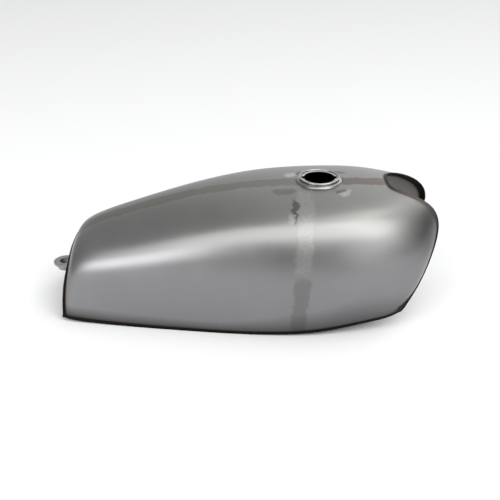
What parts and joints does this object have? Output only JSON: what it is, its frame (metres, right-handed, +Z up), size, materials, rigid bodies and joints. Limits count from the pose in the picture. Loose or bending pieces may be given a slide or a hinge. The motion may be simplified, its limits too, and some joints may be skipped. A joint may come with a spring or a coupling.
{
  "type": "motorcycle fuel tank",
  "caption": "Bare welded sheet-steel saddle fuel tank with rounded knee panels, bayonet filler neck, steering-head notch, frame tunnel and rear mounting eye.",
  "frame": {"origin": "under the middle of the tank, on the plane its seam lip rests on", "axes": "+X towards the steering head, +Y to the rider's left, +Z up"},
  "size_m": [0.5558, 0.264, 0.1913],
  "materials": {
    "bare_steel": "satin bare sheet",
    "ground_weld": "ground flush",
    "pan_steel": "matt bare sheet",
    "plated_steel": "bright zinc plate",
    "bracket_steel": "plain"
  },
  "bodies": {
    "root": {"skin_front_right": "bare_steel", "skin_front_left": "bare_steel", "skin_rear_right": "bare_steel", "skin_rear_left": "bare_steel", "weld_top_front": "ground_weld", "weld_top_rear": "ground_weld", "weld_side_right": "ground_weld", "weld_side_left": "ground_weld", "weld_rear_wall": "ground_weld", "weld_front_apron": "ground_weld", "pan_left": "pan_steel", "pan_right": "pan_steel", "tunnel": "pan_steel", "filler_base_ring": "plated_steel", "filler_neck": "plated_steel", "filler_cam_ring": "plated_steel", "rear_mount_tab": "bracket_steel", "rear_mount_collar": "bracket_steel", "front_mount_cup_right": "bracket_steel", "front_mount_cup_left": "bracket_steel", "outlet_boss_right": "bracket_steel", "outlet_boss_left": "bracket_steel"}
  },
  "joints": []
}
